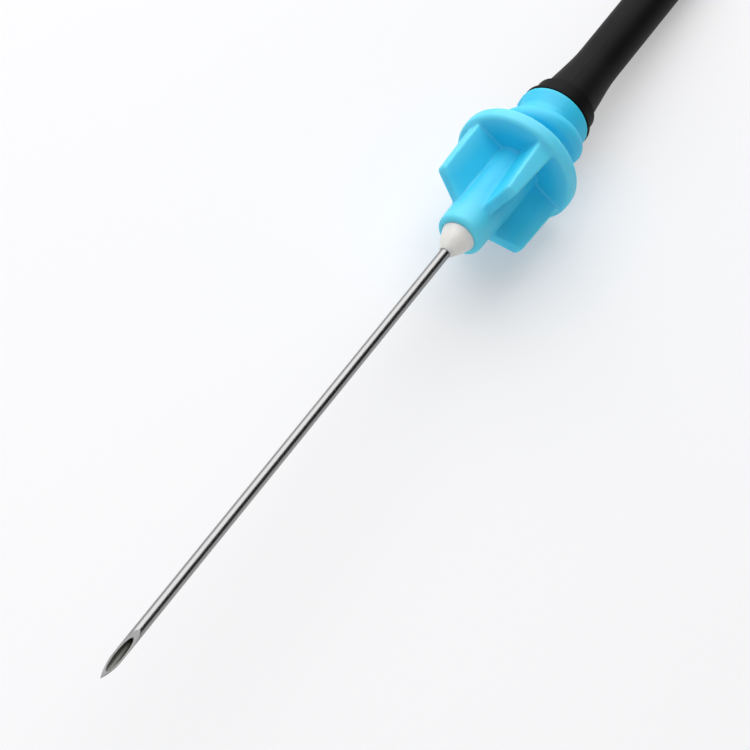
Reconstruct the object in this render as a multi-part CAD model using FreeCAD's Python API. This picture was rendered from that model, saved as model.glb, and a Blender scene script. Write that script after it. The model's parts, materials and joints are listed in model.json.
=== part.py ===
"""Double-ended blood collection needle, lying as it comes to rest on a table.

Four pieces: a steel cannula ground to a point at both ends, a moulded hub with
fins, flange and screw thread, the bead of adhesive that holds the cannula in the
hub's nose, and the closed rubber sleeve over the rear point.

The pieces are drawn about the X axis. A station is a place along that axis: 0 is
the front face of the flange, and stations grow towards the patient's end. A lean
is an angle about the axis, from straight up towards +Y. The last step lays the
needle down on the rim of its flange and the closed end of its sleeve.

Sizes are in millimetres and angles in degrees.
"""
import FreeCAD, Part
import math
import os
from FreeCAD import Vector

# Steel cannula
cannula_diameter = 0.70
cannula_wall = 0.12
exposed_length = 38.0
rear_length = 18.0
front_grind_angle = 11.0
rear_grind_angle = 16.0
side_grind_steeper_by = 6.0
side_grind_turn = 35.0
side_grind_setback = 0.02
bevel_lean = 22.0

# Flange of the hub
flange_diameter = 8.20
flange_thickness = 1.05
flange_edge_round = 0.30

# Nose of the hub, which carries the cannula
nose_diameter = 3.06
nose_length = 6.92
nose_draft = 1.2
nose_edge_round = 0.34
cannula_clearance = 0.02

# Grip fins between nose and flange
fin_count = 4
fin_lean = 34.5
fin_reach_at_flange = 3.70
fin_reach_at_corner = 3.62
fin_corner_station = 4.25
fin_shoulder_length = 0.95
fin_thickness_at_flange = 1.28
fin_thickness_at_corner = 0.78
fin_edge_round = 0.15
fin_corner_round = 0.30

# Threaded barrel behind the flange
barrel_diameter = 4.24
barrel_length = 4.42
barrel_root_chamfer = 0.76
end_rim_diameter = 4.84
end_rim_length = 1.10
end_rim_chamfer = 0.12
thread_height = 0.70
thread_pitch = 3.60
thread_width = 1.80
thread_crest_width = 1.10
thread_crest_depth = 1.85
thread_lead_in = 0.80

# Spigot that the sleeve is pushed over
spigot_diameter = 2.60
spigot_length = 3.00
spigot_barb_height = 0.12
spigot_barb_length = 0.80

# Adhesive bead and the well it fills
bead_diameter = 2.24
bead_length = 1.63
bead_end_wall = 0.05
bead_shoulder_diameter = 1.70
bead_shoulder_length = 0.78
bead_shoulder_round = 2.20
well_depth = 0.90

# Rubber sleeve
sleeve_diameter = 2.92
sleeve_wall = 0.56
sleeve_tip_gap = 1.00
sleeve_end_wall = 1.70
lip_diameter = 4.80
lip_thickness = 0.22
collar_diameter = 4.26
collar_length = 1.30
collar_step = 0.28
collar_bevel = 0.12
flare_length = 3.80
flare_blend = 16.0

ORIGIN = Vector(0, 0, 0)
AXIS = Vector(1, 0, 0)
ACROSS = Vector(0, 1, 0)
UP = Vector(0, 0, 1)

cannula_radius = cannula_diameter / 2
flange_radius = flange_diameter / 2
barrel_radius = barrel_diameter / 2
end_rim_radius = end_rim_diameter / 2
sleeve_radius = sleeve_diameter / 2
barrel_end = -flange_thickness - barrel_length
bead_end = nose_length + bead_length
tip_station = bead_end + exposed_length
rear_tip_station = barrel_end - rear_length
cavity_end = rear_tip_station - sleeve_tip_gap
sleeve_end = cavity_end - sleeve_end_wall


def at(station, radius):
    """Point of a profile, in the plane that holds the axis."""
    return Vector(station, 0, radius)


def rounded_edges(corners):
    """Closed outline through (station, radius, round) corners, each round a tangent arc."""
    starts = []
    ends = []
    middles = []
    for index, (station, radius, round_radius) in enumerate(corners):
        corner = at(station, radius)
        before = at(*corners[index - 1][:2])
        after = at(*corners[(index + 1) % len(corners)][:2])
        to_before = (before - corner).normalize()
        to_after = (after - corner).normalize()
        half_angle = to_before.getAngle(to_after) / 2
        reach = round_radius / math.tan(half_angle) if round_radius else 0
        starts.append(corner + to_before * reach)
        ends.append(corner + to_after * reach)
        bisector = to_before + to_after
        if round_radius:
            to_arc = round_radius / math.sin(half_angle) - round_radius
            middles.append(corner + bisector.normalize() * to_arc)
        else:
            middles.append(None)
    edges = []
    for index, middle in enumerate(middles):
        if middle is not None:
            edges.append(Part.Arc(starts[index], middle, ends[index]).toShape())
        following = (index + 1) % len(corners)
        if (starts[following] - ends[index]).Length > 1e-6:
            edges.append(Part.LineSegment(ends[index], starts[following]).toShape())
    return edges


def turned(corners):
    """Solid of revolution about the axis, from (station, radius, round) corners."""
    face = Part.Face(Part.Wire(Part.__sortEdges__(rounded_edges(corners))))
    return face.revolve(ORIGIN, AXIS, 360)


def rod(start, end, radius):
    """Round rod on the axis between two stations."""
    return Part.makeCylinder(radius, end - start, Vector(start, 0, 0), AXIS)


def leaned(shape, lean):
    """Copy of a shape turned about the axis, from up towards +Y."""
    copy = shape.copy()
    copy.rotate(ORIGIN, AXIS, -lean)
    return copy


def grinding_block(slope, turn, setback):
    """Everything above a plane that rises backwards from the cannula's lower edge."""
    size = 4 * cannula_diameter / math.tan(math.radians(slope))
    block = Part.makeBox(2 * size, 2 * size, size, Vector(-size, -size, 0))
    block.rotate(ORIGIN, ACROSS, slope)
    block = leaned(block, turn)
    block.translate(Vector(-setback, 0, -cannula_radius))
    return block


def lancet_grind(slope):
    """The three blocks that grind a lancet point whose tip lies at station 0."""
    side_slope = slope + side_grind_steeper_by
    return [
        grinding_block(slope, 0, 0),
        grinding_block(side_slope, side_grind_turn, side_grind_setback),
        grinding_block(side_slope, -side_grind_turn, side_grind_setback),
    ]


def make_cannula():
    """Steel tube through the whole needle, with a lancet point at each end."""
    tube = rod(rear_tip_station, tip_station, cannula_radius)
    margin = cannula_diameter
    lumen = rod(rear_tip_station - margin, tip_station + margin, cannula_radius - cannula_wall)
    tube = tube.cut(lumen)
    for block in lancet_grind(front_grind_angle):
        block.translate(Vector(tip_station, 0, 0))
        tube = tube.cut(block)
    for block in lancet_grind(rear_grind_angle):
        block.rotate(ORIGIN, UP, 180)
        block.translate(Vector(rear_tip_station, 0, 0))
        tube = tube.cut(block)
    return leaned(tube, bevel_lean)


def spigot_corners():
    """Outline of the barbed spigot, from the barrel's end face backwards."""
    radius = spigot_diameter / 2
    end = barrel_end - spigot_length
    return [
        (barrel_end, radius, 0),
        (end + spigot_barb_length, radius, 0),
        (end + spigot_barb_length, radius + spigot_barb_height, 0),
        (end, radius, 0),
    ]


def make_hub_body():
    """Nose, flange, barrel and spigot, turned as one."""
    nose_radius = nose_diameter / 2
    nose_root = nose_radius + nose_length * math.tan(math.radians(nose_draft))
    return turned([
        (nose_length, 0, 0),
        (nose_length, nose_radius, nose_edge_round),
        (0, nose_root, 0),
        (0, flange_radius, flange_edge_round),
        (-flange_thickness, flange_radius, flange_edge_round),
        (-flange_thickness, barrel_radius + barrel_root_chamfer, 0),
        (-flange_thickness - barrel_root_chamfer, barrel_radius, 0),
        (barrel_end + end_rim_length, barrel_radius, 0),
        (barrel_end + end_rim_chamfer, end_rim_radius, 0),
        (barrel_end, end_rim_radius - end_rim_chamfer, 0),
        *spigot_corners(),
        (barrel_end - spigot_length, 0, 0),
    ])


def make_fin():
    """One fin, pointing up: thick at the flange, thin and steeply chamfered in front."""
    back = -flange_thickness / 2
    nose_radius = nose_diameter / 2
    lowering = (fin_reach_at_flange - fin_reach_at_corner) / fin_corner_station
    shoulder_run = fin_shoulder_length / (fin_reach_at_corner - nose_radius)
    front = fin_corner_station + fin_reach_at_corner * shoulder_run
    side_view = Part.Face(Part.Wire(Part.__sortEdges__(rounded_edges([
        (back, 0, 0),
        (back, fin_reach_at_flange - back * lowering, 0),
        (fin_corner_station, fin_reach_at_corner, fin_corner_round),
        (front, 0, 0),
    ]))))
    side_view.translate(ACROSS * -fin_thickness_at_flange)
    side = side_view.extrude(ACROSS * 2 * fin_thickness_at_flange)

    thinning = (fin_thickness_at_flange - fin_thickness_at_corner) / fin_corner_station
    half_back = (fin_thickness_at_flange - back * thinning) / 2
    half_front = (fin_thickness_at_flange - front * thinning) / 2
    top_view = [
        Vector(back, -half_back, 0),
        Vector(front, -half_front, 0),
        Vector(front, half_front, 0),
        Vector(back, half_back, 0),
    ]
    top_plate = Part.Face(Part.makePolygon(top_view + top_view[:1]))
    fin = side.common(top_plate.extrude(UP * 2 * flange_radius))
    return fin.makeFillet(fin_edge_round, [edge for edge in fin.Edges if is_fin_rim(edge)])


def is_fin_rim(edge):
    """True for the edges along both sides of the fin's outer face, round and chamfer."""
    box = edge.BoundBox
    off_middle = abs(box.Center.y) > 1e-6
    return off_middle and box.XLength > 1e-3 and box.ZMax > nose_diameter / 2


def make_thread():
    """Right-handed rounded ridge, run out by a cone at the barrel's end."""
    root = barrel_radius - thread_height / 3
    crest = barrel_radius + thread_height
    shoulder = crest - thread_height / 3
    start = -flange_thickness / 2
    height = start - barrel_end + thread_width
    path = Part.makeHelix(thread_pitch, height, crest)
    half_root = thread_width / 2
    half_crest = thread_crest_width / 2
    ridge = Part.Wire([
        Part.LineSegment(Vector(root, 0, -half_root), Vector(root, 0, half_root)).toShape(),
        Part.LineSegment(Vector(root, 0, half_root), Vector(shoulder, 0, half_crest)).toShape(),
        Part.Arc(
            Vector(shoulder, 0, half_crest), Vector(crest, 0, 0), Vector(shoulder, 0, -half_crest)
        ).toShape(),
        Part.LineSegment(Vector(shoulder, 0, -half_crest), Vector(root, 0, -half_root)).toShape(),
    ])
    sweep = Part.BRepOffsetAPI.MakePipeShell(path)
    sweep.setFrenetMode(True)
    sweep.add(ridge)
    sweep.build()
    sweep.makeSolid()
    thread = Part.Solid(sweep.shape())

    thread.rotate(ORIGIN, ACROSS, 90)
    thread.translate(Vector(start - height, 0, 0))
    crest_station = -flange_thickness - thread_crest_depth
    turns = (crest_station - (start - height)) / thread_pitch
    thread.rotate(ORIGIN, AXIS, 180 - 360 * turns)

    run_out = turned([
        (start, 0, 0),
        (start, crest + 1, 0),
        (barrel_end + thread_lead_in, crest + 1, 0),
        (barrel_end + thread_lead_in, crest, 0),
        (barrel_end, end_rim_radius - end_rim_chamfer, 0),
        (barrel_end, 0, 0),
    ])
    return thread.common(run_out)


def make_hub():
    """Moulded hub, bored for the cannula and with a well for the adhesive."""
    hub = make_hub_body()
    fin = make_fin()
    for index in range(fin_count):
        hub = hub.fuse(leaned(fin, fin_lean + index * 360 / fin_count))
    hub = hub.fuse(make_thread())
    rear = barrel_end - spigot_length
    bore = rod(rear - 1, nose_length, cannula_radius + cannula_clearance)
    well = turned([
        (nose_length - well_depth, 0, 0),
        (nose_length - well_depth, cannula_radius + cannula_clearance, 0),
        (nose_length, bead_diameter / 2, 0),
        (nose_length + 1, bead_diameter / 2, 0),
        (nose_length + 1, 0, 0),
    ])
    return hub.cut(bore).cut(well)


def make_nose_adhesive():
    """Adhesive in the well, rising to a blunt dome round the cannula."""
    return turned([
        (nose_length - well_depth, cannula_radius, 0),
        (nose_length - well_depth, cannula_radius + cannula_clearance, 0),
        (nose_length, bead_diameter / 2, 0),
        (nose_length + bead_shoulder_length, bead_shoulder_diameter / 2, bead_shoulder_round),
        (bead_end, cannula_radius + bead_end_wall, 0),
        (bead_end, cannula_radius, 0),
    ])


def make_rubber_sleeve():
    """Closed sleeve: lip, collar, flare and tube, pushed over the hub's spigot."""
    inner = sleeve_radius - sleeve_wall
    collar_radius = collar_diameter / 2
    collar_end = barrel_end - collar_length
    spigot_end = barrel_end - spigot_length
    return turned([
        (barrel_end, lip_diameter / 2, 0),
        (barrel_end - lip_thickness, lip_diameter / 2, 0),
        (barrel_end - lip_thickness, collar_radius, 0),
        (collar_end, collar_radius, 0),
        (collar_end - collar_bevel, collar_radius - collar_step, 0),
        (collar_end - flare_length, sleeve_radius, flare_blend),
        (sleeve_end, sleeve_radius, sleeve_radius),
        (sleeve_end, 0, 0),
        (cavity_end, 0, 0),
        (cavity_end, inner, 0),
        (spigot_end - sleeve_wall, inner, 0),
        *reversed(spigot_corners()),
    ])


def resting_tilt():
    """Angle that the axis rises by, resting on the flange's rear edge and the sleeve's end."""
    span = sleeve_radius - flange_edge_round
    along = flange_edge_round - flange_thickness - (sleeve_end + sleeve_radius)
    below = flange_radius - flange_edge_round
    return math.degrees(math.atan2(below, along) - math.asin(span / math.hypot(along, below)))


def lay_down(shape):
    """Move a piece from the drawing axis to where the needle lies on the table."""
    tilt = math.radians(resting_tilt())
    rest_centre = sleeve_end + sleeve_radius
    height = sleeve_radius - rest_centre * math.sin(tilt)
    point_drop = cannula_radius * math.cos(math.radians(bevel_lean))
    front = tip_station * math.cos(tilt) + point_drop * math.sin(tilt)
    back = rest_centre * math.cos(tilt) - sleeve_radius
    placed = shape.copy()
    placed.rotate(ORIGIN, ACROSS, -math.degrees(tilt))
    placed.translate(Vector(-(front + back) / 2, 0, height))
    return placed


def main():
    """Make every piece, lay it down and write it out."""
    os.makedirs("parts", exist_ok=True)
    pieces = {
        "cannula": make_cannula(),
        "hub": make_hub(),
        "nose_adhesive": make_nose_adhesive(),
        "rubber_sleeve": make_rubber_sleeve(),
    }
    for name, shape in pieces.items():
        lay_down(shape).exportStep(f"parts/{name}.step")
        print(f"{name}: {len(shape.Solids)} solid, {shape.Volume:.3f} mm3, valid {shape.isValid()}")
    print(f"tilt at rest {resting_tilt():.2f} degrees")


main()
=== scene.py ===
"""Finish and studio for a double-ended blood collection needle.

Every piece lies where the construction puts it, in metres, with the needle's own
axis rising a little towards its free point.
"""

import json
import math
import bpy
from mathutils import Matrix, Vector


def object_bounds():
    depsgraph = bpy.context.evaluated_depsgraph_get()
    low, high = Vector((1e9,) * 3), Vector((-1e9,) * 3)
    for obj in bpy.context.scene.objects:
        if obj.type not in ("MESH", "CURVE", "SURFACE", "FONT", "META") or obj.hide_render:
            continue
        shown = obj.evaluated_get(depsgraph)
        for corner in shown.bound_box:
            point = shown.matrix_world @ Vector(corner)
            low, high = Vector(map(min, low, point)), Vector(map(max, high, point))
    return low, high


bl_info = {
    "name": "Blood Collection Needle",
    "version": (1, 0, 0),
    "blender": (4, 5, 0),
    "location": "3D View > Sidebar > Needle",
    "description": "Dresses the needle's steel, hub, adhesive and rubber sleeve and lights them",
    "category": "Object",
}

import bpy
from bpy.props import FloatProperty, FloatVectorProperty, IntProperty, PointerProperty
from mathutils import Vector

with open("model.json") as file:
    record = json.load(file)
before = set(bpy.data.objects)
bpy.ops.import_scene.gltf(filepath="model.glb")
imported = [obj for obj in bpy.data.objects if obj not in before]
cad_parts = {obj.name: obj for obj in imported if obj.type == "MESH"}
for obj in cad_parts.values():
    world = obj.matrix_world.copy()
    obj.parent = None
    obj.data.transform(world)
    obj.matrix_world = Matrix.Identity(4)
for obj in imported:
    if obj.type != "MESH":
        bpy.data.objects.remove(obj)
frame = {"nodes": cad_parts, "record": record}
cad_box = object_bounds()

MILLIMETRE = 0.001
PHOTO_SIDE = 750
SENSOR_WIDTH = 36.0
MOUNTS = {mount["name"]: mount for mount in frame["record"]["mounts"]}
SHAFT = MOUNTS["needle_shaft"]
THREAD = MOUNTS["holder_thread"]
AXIS = Vector(SHAFT["axis"]).normalized()
SHAFT_MIDDLE = Vector(SHAFT["pos_m"])
SHAFT_HALF = SHAFT["dims"]["length_mm"] / 2 * MILLIMETRE
TILT = math.asin(AXIS.z)
FLANGE_THICKNESS = 1.05 * MILLIMETRE
THREAD_HALF = THREAD["dims"]["length_mm"] / 2 * MILLIMETRE
FLANGE_FRONT = Vector(THREAD["pos_m"]) + AXIS * (THREAD_HALF + FLANGE_THICKNESS)
BEAD_LENGTH = 1.63 * MILLIMETRE
NOSE_END = -SHAFT_HALF - BEAD_LENGTH
# Stretches along the axis over which the nose is painted paler, as painted light coming through
# the plastic there, and the tube turns into the ground point.
NOSE_FADE = 3.5 * MILLIMETRE
GRIND_FADE = 0.2 * MILLIMETRE
# Distances from the axis: the plastic is painted paler from root to edge, as painted light through
# its rims and fins, and the steel goes from the painted shade and dull finish of its bore to its
# bright wall.
FIN_ROOT = 2.4 * MILLIMETRE
FIN_EDGE = 4.0 * MILLIMETRE
BORE_EDGE = 0.235 * MILLIMETRE
WALL_EDGE = 0.25 * MILLIMETRE
TABLE_SIDE = 6.0
TABLE_GAP = 0.02 * MILLIMETRE


def colour_property(name, description, default):
    """Colour picker without alpha."""
    return FloatVectorProperty(
        name=name, description=description, default=default, subtype="COLOR", size=3, min=0, max=1
    )


def share_property(name, description, default):
    """Slider from nothing to all."""
    return FloatProperty(
        name=name, description=description, default=default, subtype="FACTOR", min=0, max=1
    )


def length_property(name, description, default):
    """Length in metres."""
    return FloatProperty(
        name=name, description=description, default=default, subtype="DISTANCE", unit="LENGTH",
        precision=5,
    )


def place_property(name, description, default):
    """Place in metres."""
    return FloatVectorProperty(
        name=name, description=description, default=default, size=3, subtype="XYZ", unit="LENGTH"
    )


class NeedleFinish(bpy.types.PropertyGroup):
    """Colours and surface qualities of the needle's pieces."""

    plastic: colour_property("Hub plastic", "Sky-blue moulded plastic", (0.006, 0.60, 0.88))
    # Painted light: this paler colour stands in for light coming through the rims, fin edges and
    # nose of the hub.
    painted_light_plastic: colour_property(
        "Thin plastic", "Where light gets through rims, fins and nose", (0.10, 0.70, 0.92)
    )
    plastic_roughness: share_property("Hub roughness", "Satin skin of the moulding", 0.58)
    plastic_depth: length_property(
        "Hub depth", "How far light travels in the plastic", 0.5 * MILLIMETRE
    )
    skin_mesh: length_property(
        "Hub mesh", "Size of the squares of the hub's skin", 0.076 * MILLIMETRE
    )
    skin_passes: IntProperty(
        name="Hub softness", description="Smoothing passes that round the moulded edges", default=5
    )
    steel: colour_property("Steel", "Drawn stainless steel", (0.28, 0.28, 0.28))
    # Painted shade: this darker colour stands in for the shade inside the tube's bore; the bore's
    # dull finish is its roughness.
    painted_bore_shade: colour_property("Bore steel", "Dull wall of the tube's bore", (0.13, 0.13, 0.12))
    steel_roughness: share_property("Steel roughness", "Polish of the drawn tube", 0.24)
    ground_roughness: share_property("Ground roughness", "Finish of the ground point", 0.36)
    bore_roughness: share_property("Bore roughness", "Finish of the tube's bore", 0.50)
    adhesive: colour_property("Adhesive", "Off-white cured adhesive", (0.84, 0.825, 0.79))
    adhesive_depth: length_property(
        "Adhesive depth", "How far light travels in the adhesive", 0.6 * MILLIMETRE
    )
    rubber: colour_property("Rubber", "Black sleeve rubber", (0.003, 0.003, 0.0028))
    rubber_roughness: share_property("Rubber roughness", "Satin skin of the sleeve", 0.50)


class NeedleStudio(bpy.types.PropertyGroup):
    """Table, lamps and camera."""

    table: colour_property("Table", "White table under the needle", (0.93, 0.93, 0.95))
    key_power: FloatProperty(
        name="Key", description="Power of the large lamp behind the needle", default=3.8,
        unit="POWER",
    )
    key_size: length_property("Key size", "Side of the large lamp", 0.80)
    key_place: place_property("Key place", "Where the large lamp hangs", (-0.306, -0.128, 0.388))
    card_size: length_property("Card size", "Side of the dark card on the right", 0.26)
    card_place: place_property("Card place", "Where the dark card stands", (-0.13, 0.15, 0.105))
    table_white: share_property("Table white", "Share of plain white that the table shows", 0.35)
    sky: share_property("Sky", "Strength of the room's light", 0.50)
    camera_lean: FloatProperty(
        name="Camera height", description="Elevation of the camera above the table",
        default=math.radians(54.67), subtype="ANGLE", unit="ROTATION",
    )
    camera_turn: FloatProperty(
        name="Camera turn", description="Direction of the camera from the needle's point",
        default=math.radians(30.79), subtype="ANGLE", unit="ROTATION",
    )
    camera_distance: length_property("Camera distance", "From the flange to the lens", 0.228)
    focal_pixels: FloatProperty(
        name="Focal length", description="Focal length in pixels of the photograph", default=3644.0
    )
    flange_pixel: FloatVectorProperty(
        name="Flange place", description="Where the flange's centre shows in the photograph",
        default=(512.97, 169.2), size=2,
    )


def finish_settings():
    """The scene's finish values."""
    return bpy.context.scene.needle_finish


def studio_settings():
    """The scene's studio values."""
    return bpy.context.scene.needle_studio


class Wire:
    """A node's output, with arithmetic that adds Math nodes."""

    def __init__(self, recipe, socket):
        self.recipe = recipe
        self.socket = socket

    def math(self, operation, *values):
        """Math node on these values."""
        return self.recipe.add("ShaderNodeMath", {"operation": operation}, dict(enumerate(values)))

    def __add__(self, other):
        return self.math("ADD", self, other)

    __radd__ = __add__

    def __sub__(self, other):
        return self.math("SUBTRACT", self, other)

    def __rsub__(self, other):
        return self.math("SUBTRACT", other, self)

    def __mul__(self, other):
        return self.math("MULTIPLY", self, other)

    __rmul__ = __mul__


class Recipe:
    """The nodes of a new material or world, built one by one."""

    def __init__(self, owner, output="ShaderNodeOutputMaterial"):
        self.owner = owner
        owner.use_nodes = True
        self.nodes = owner.node_tree.nodes
        self.links = owner.node_tree.links
        self.nodes.clear()
        self.output = self.nodes.new(output)

    def add(self, kind, settings=None, values=None, output=0):
        """New node: settings first, then its sockets' values or wires; returns one output."""
        node = self.nodes.new(kind)
        for name, value in (settings or {}).items():
            setattr(node, name, value)
        for name, value in (values or {}).items():
            if isinstance(value, Wire):
                self.links.new(value.socket, node.inputs[name])
            else:
                node.inputs[name].default_value = value
        return Wire(self, node.outputs[output])

    def mix(self, share, first, second):
        """Colour between two colours."""
        return self.add(
            "ShaderNodeMix", {"data_type": "RGBA"}, {0: share, 6: first, 7: second}, output=2
        )

    def noise(self, place, scale=1.0, detail=3.0, roughness=0.5):
        """Noise from 0 to 1 at a place."""
        return self.add(
            "ShaderNodeTexNoise", None,
            {"Vector": place, "Scale": scale, "Detail": detail, "Roughness": roughness},
        )

    def between(self, value, low, high):
        """0 below a range and 1 above it, with a soft rise between."""
        return self.add(
            "ShaderNodeMapRange", {"interpolation_type": "SMOOTHSTEP"},
            {"Value": value, "From Min": low, "From Max": high},
        )

    def needle_place(self, stretch=(1, 1, 1)):
        """Place in metres with X along the needle's axis, stretched side by side."""
        place = self.add("ShaderNodeTexCoord", output="Object")
        shifted = self.add(
            "ShaderNodeVectorMath", {"operation": "SUBTRACT"}, {0: place, 1: SHAFT_MIDDLE}
        )
        turned = self.add(
            "ShaderNodeMapping", {"vector_type": "POINT"},
            {"Vector": shifted, "Rotation": (0, TILT, 0)},
        )
        return self.add(
            "ShaderNodeVectorMath", {"operation": "MULTIPLY"}, {0: turned, 1: stretch}
        )

    def needle_station(self):
        """Distance in metres along the needle's axis, from the middle of its bare shaft."""
        return self.add("ShaderNodeSeparateXYZ", None, {0: self.needle_place()})

    def needle_reach(self):
        """Distance in metres from the needle's axis."""
        across = self.needle_place((0, 1, 1))
        return self.add("ShaderNodeVectorMath", {"operation": "LENGTH"}, {0: across}, "Value")

    def bump(self, height, distance, strength):
        """Normal from a height in units of distance."""
        return self.add(
            "ShaderNodeBump", None, {"Height": height, "Distance": distance, "Strength": strength}
        )

    def seen(self):
        """1 for rays from the camera, gloss and glass, and 0 for the light on the needle."""
        rays = ("Is Camera Ray", "Is Glossy Ray", "Is Transmission Ray")
        return sum(self.add("ShaderNodeLightPath", output=ray) for ray in rays)

    def surface(self, values):
        """Principled shader, joined to the output; returns the material."""
        return self.shine(self.add("ShaderNodeBsdfPrincipled", None, values))

    def shine(self, shader):
        """Join a shader to the output; returns the material or world."""
        self.links.new(shader.socket, self.output.inputs["Surface"])
        return self.owner


def opaque(colour):
    """Colour with full alpha."""
    return (*colour, 1.0)


def shaded(colour, share):
    """A darker or lighter colour with full alpha."""
    return (*(channel * share for channel in colour), 1.0)


def moulded_plastic():
    """Translucent sky-blue plastic with the faint unevenness of a moulded skin, and painted light
    at rims, fin edges and nose.
    """
    finish = finish_settings()
    recipe = Recipe(bpy.data.materials.new("moulded_plastic"))
    place = recipe.needle_place()
    cloud = recipe.noise(place, scale=900.0, detail=2.0)
    grain = recipe.noise(place, scale=16000.0)
    # Painted light: the plastic is painted paler towards the rims, fin edges and the nose's end,
    # where light comes through it, so the roots near the axis look deeper, as painted shade.
    painted_rim_light = recipe.between(recipe.needle_reach(), FIN_ROOT, FIN_EDGE)
    nose = recipe.between(recipe.needle_station(), NOSE_END - NOSE_FADE, NOSE_END)
    painted_light_share = painted_rim_light.math("MAXIMUM", painted_rim_light, nose)
    deep = recipe.mix(cloud, shaded(finish.plastic, 0.94), shaded(finish.plastic, 1.05))
    colour = recipe.mix(painted_light_share, deep, opaque(finish.painted_light_plastic))
    roughness = finish.plastic_roughness - 0.06 + 0.12 * grain
    return recipe.surface({
        "Base Color": colour,
        "Roughness": roughness,
        "IOR": 1.49,
        "Specular IOR Level": 0.9,
        "Subsurface Weight": 0.55,
        "Subsurface Radius": (0.25, 0.8, 1.0),
        "Subsurface Scale": finish.plastic_depth,
        "Normal": recipe.bump(grain, distance=0.004 * MILLIMETRE, strength=0.4),
    })


def cured_adhesive():
    """Off-white adhesive, glossy and a little cloudy."""
    finish = finish_settings()
    recipe = Recipe(bpy.data.materials.new("cured_adhesive"))
    cloud = recipe.noise(recipe.needle_place(), scale=1500.0, detail=2.0)
    colour = recipe.mix(cloud, shaded(finish.adhesive, 0.95), shaded(finish.adhesive, 1.04))
    return recipe.surface({
        "Base Color": colour,
        "Roughness": 0.24 + 0.10 * cloud,
        "IOR": 1.52,
        "Subsurface Weight": 0.5,
        "Subsurface Radius": (1.0, 0.9, 0.75),
        "Subsurface Scale": finish.adhesive_depth,
        "Normal": recipe.bump(cloud, distance=0.01 * MILLIMETRE, strength=0.3),
    })


def drawn_steel():
    """Stainless tube with the fine lengthwise lines of drawing, dull in its bore, where its darker
    colour is painted shade.
    """
    finish = finish_settings()
    recipe = Recipe(bpy.data.materials.new("drawn_steel"))
    lines = recipe.noise(recipe.needle_place((90, 14000, 14000)), detail=4.0, roughness=0.6)
    specks = recipe.noise(recipe.needle_place((2500, 9000, 9000)), roughness=0.6)
    drawn = recipe.mix(lines, shaded(finish.steel, 0.90), shaded(finish.steel, 1.06))
    # Painted shade: the bore is painted darker than the tube's wall, and its finish is duller
    # there.
    wall = recipe.between(recipe.needle_reach(), BORE_EDGE, WALL_EDGE)
    colour = recipe.mix(wall, opaque(finish.painted_bore_shade), drawn)
    ground = recipe.between(recipe.needle_station(), SHAFT_HALF, SHAFT_HALF + GRIND_FADE)
    polish = finish.steel_roughness + ground * (finish.ground_roughness - finish.steel_roughness)
    bare = finish.bore_roughness + wall * (polish - finish.bore_roughness)
    roughness = bare - 0.07 + 0.10 * lines + 0.08 * specks
    return recipe.surface({
        "Base Color": colour,
        "Metallic": 1.0,
        "Roughness": roughness,
        "Normal": recipe.bump(lines, distance=0.003 * MILLIMETRE, strength=0.5),
    })


def sleeve_rubber():
    """Black rubber with a satin skin and faint dusty mottling."""
    finish = finish_settings()
    recipe = Recipe(bpy.data.materials.new("sleeve_rubber"))
    mottle = recipe.noise(recipe.needle_place((400, 900, 900)))
    grain = recipe.noise(recipe.needle_place(), scale=14000.0)
    colour = recipe.mix(mottle, shaded(finish.rubber, 0.7), shaded(finish.rubber, 1.5))
    roughness = finish.rubber_roughness - 0.08 + 0.10 * mottle + 0.06 * grain
    return recipe.surface({
        "Base Color": colour,
        "Roughness": roughness,
        "IOR": 1.5,
        "Specular IOR Level": 0.07,
        "Normal": recipe.bump(grain, distance=0.006 * MILLIMETRE, strength=0.5),
    })


def dress(node, material):
    """Give a constructed piece its material."""
    piece = frame["nodes"][node]
    piece.data.materials.clear()
    piece.data.materials.append(material)
    return piece


def soften(piece):
    """Round a moulded piece's edges and the corners between its walls."""
    finish = finish_settings()
    skin = piece.modifiers.new("skin", "REMESH")
    skin.mode = "VOXEL"
    skin.voxel_size = finish.skin_mesh
    skin.use_smooth_shade = True
    rounding = piece.modifiers.new("rounding", "SMOOTH")
    rounding.factor = 0.5
    rounding.iterations = finish.skin_passes


class NEEDLE_OT_hub(bpy.types.Operator):
    """Dress the moulded hub"""

    bl_idname = "needle.hub"
    bl_label = "Hub"

    def execute(self, context):
        soften(dress("hub", moulded_plastic()))
        return {"FINISHED"}


class NEEDLE_OT_cannula(bpy.types.Operator):
    """Dress the steel cannula"""

    bl_idname = "needle.cannula"
    bl_label = "Cannula"

    def execute(self, context):
        dress("cannula", drawn_steel())
        return {"FINISHED"}


class NEEDLE_OT_adhesive(bpy.types.Operator):
    """Dress the bead of adhesive at the hub's nose"""

    bl_idname = "needle.adhesive"
    bl_label = "Adhesive"

    def execute(self, context):
        dress("nose_adhesive", cured_adhesive())
        return {"FINISHED"}


class NEEDLE_OT_sleeve(bpy.types.Operator):
    """Dress the rubber sleeve"""

    bl_idname = "needle.sleeve"
    bl_label = "Sleeve"

    def execute(self, context):
        dress("rubber_sleeve", sleeve_rubber())
        return {"FINISHED"}


def table_surface():
    """White table that keeps the needle's shadow, lightened as it is seen."""
    studio = studio_settings()
    recipe = Recipe(bpy.data.materials.new("table"))
    paper = recipe.add("ShaderNodeBsdfDiffuse", None, {"Color": opaque(studio.table)})
    white = recipe.add("ShaderNodeEmission", None, {"Color": (1, 1, 1, 1), "Strength": 1.0})
    share = recipe.seen() * studio.table_white
    return recipe.shine(recipe.add("ShaderNodeMixShader", None, {0: share, 1: paper, 2: white}))


def card_surface():
    """Dull black card."""
    recipe = Recipe(bpy.data.materials.new("card"))
    return recipe.surface({"Base Color": (0.01, 0.01, 0.01, 1), "Roughness": 1.0})


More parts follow.
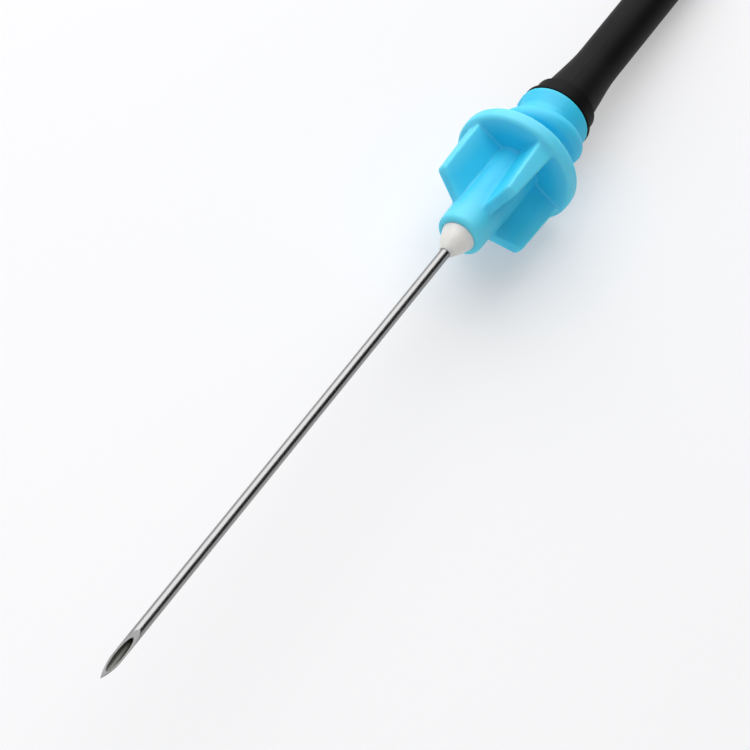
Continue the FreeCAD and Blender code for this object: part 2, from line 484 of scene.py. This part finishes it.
def facing(place, axis):
    """Turn that points one of an object's axes from its place at the needle."""
    return (-Vector(place)).to_track_quat(axis, "Y").to_euler()


def make_sheet(name, side, material):
    """Square sheet for the stage, facing up at the origin."""
    half = side / 2
    mesh = bpy.data.meshes.new(name)
    corners = [(-half, -half, 0), (half, -half, 0), (half, half, 0), (-half, half, 0)]
    mesh.from_pydata(corners, [], [(0, 1, 2, 3)])
    mesh.materials.append(material)
    sheet = bpy.data.objects.new(name, mesh)
    bpy.context.scene.collection.objects.link(sheet)
    return sheet


def make_table():
    """Large white table top just under the needle."""
    table = make_sheet("table", TABLE_SIDE, table_surface())
    table.location.z = cad_box[0][2] - TABLE_GAP


def make_card():
    """Dark card on the right, which draws the dark streak on steel and rubber."""
    studio = studio_settings()
    card = make_sheet("card", studio.card_size, card_surface())
    card.location = studio.card_place
    card.rotation_euler = facing(studio.card_place, "Z")
    card.visible_camera = False


def make_key():
    """Large square lamp behind the needle, high above the table."""
    studio = studio_settings()
    data = bpy.data.lights.new("key", "AREA")
    data.shape = "SQUARE"
    data.size = studio.key_size
    data.energy = studio.key_power
    lamp = bpy.data.objects.new("key", data)
    bpy.context.scene.collection.objects.link(lamp)
    lamp.location = studio.key_place
    lamp.rotation_euler = facing(studio.key_place, "-Z")


def make_room():
    """White room for the camera, gloss and glass, and plain soft light for the rest."""
    recipe = Recipe(bpy.data.worlds.new("room"), "ShaderNodeOutputWorld")
    sky = studio_settings().sky
    colour = recipe.mix(recipe.seen(), (sky, sky, sky, 1), (1, 1, 1, 1))
    bpy.context.scene.world = recipe.shine(recipe.add("ShaderNodeBackground", None, {0: colour}))


def make_camera():
    """Camera that shows the flange's centre where the photograph shows it."""
    studio = studio_settings()
    towards = Vector((
        math.cos(studio.camera_lean) * math.cos(studio.camera_turn),
        math.cos(studio.camera_lean) * math.sin(studio.camera_turn),
        math.sin(studio.camera_lean),
    ))
    turn = towards.to_track_quat("Z", "Y")
    ray = Vector((
        (studio.flange_pixel[0] - PHOTO_SIDE / 2) / studio.focal_pixels,
        (PHOTO_SIDE / 2 - studio.flange_pixel[1]) / studio.focal_pixels,
        -1,
    ))
    data = bpy.data.cameras.new("camera")
    data.sensor_width = SENSOR_WIDTH
    data.sensor_fit = "HORIZONTAL"
    data.lens = studio.focal_pixels / PHOTO_SIDE * SENSOR_WIDTH
    data.clip_start = 0.01
    camera = bpy.data.objects.new("camera", data)
    bpy.context.scene.collection.objects.link(camera)
    camera.rotation_euler = turn.to_euler()
    camera.location = FLANGE_FRONT - turn @ (ray * studio.camera_distance)
    bpy.context.scene.camera = camera


class NEEDLE_OT_studio(bpy.types.Operator):
    """Set up the table, the lamps and the camera"""

    bl_idname = "needle.studio"
    bl_label = "Studio"

    def execute(self, context):
        make_table()
        make_card()
        make_room()
        make_key()
        make_camera()
        context.scene.view_settings.view_transform = "Standard"
        return {"FINISHED"}


class NEEDLE_PT_panel(bpy.types.Panel):
    """Needle pieces and studio"""

    bl_label = "Blood Collection Needle"
    bl_space_type = "VIEW_3D"
    bl_region_type = "UI"
    bl_category = "Needle"

    def draw(self, context):
        for operator in OPERATORS:
            self.layout.operator(operator.bl_idname)
        for group in (context.scene.needle_finish, context.scene.needle_studio):
            column = self.layout.column()
            for name in group.__annotations__:
                column.prop(group, name)


OPERATORS = (
    NEEDLE_OT_hub, NEEDLE_OT_cannula, NEEDLE_OT_adhesive, NEEDLE_OT_sleeve, NEEDLE_OT_studio
)
CLASSES = (NeedleFinish, NeedleStudio, *OPERATORS, NEEDLE_PT_panel)


def register():
    """Register the classes and hang the values on the scene."""
    for entry in CLASSES:
        bpy.utils.register_class(entry)
    bpy.types.Scene.needle_finish = PointerProperty(type=NeedleFinish)
    bpy.types.Scene.needle_studio = PointerProperty(type=NeedleStudio)


def unregister():
    """Take the values and the classes away again."""
    del bpy.types.Scene.needle_studio
    del bpy.types.Scene.needle_finish
    for entry in reversed(CLASSES):
        bpy.utils.unregister_class(entry)


def main():
    """Make everything in order."""
    register()
    bpy.ops.needle.hub()
    bpy.ops.needle.cannula()
    bpy.ops.needle.adhesive()
    bpy.ops.needle.sleeve()
    bpy.ops.needle.studio()


if __name__ == "__main__":
    main()
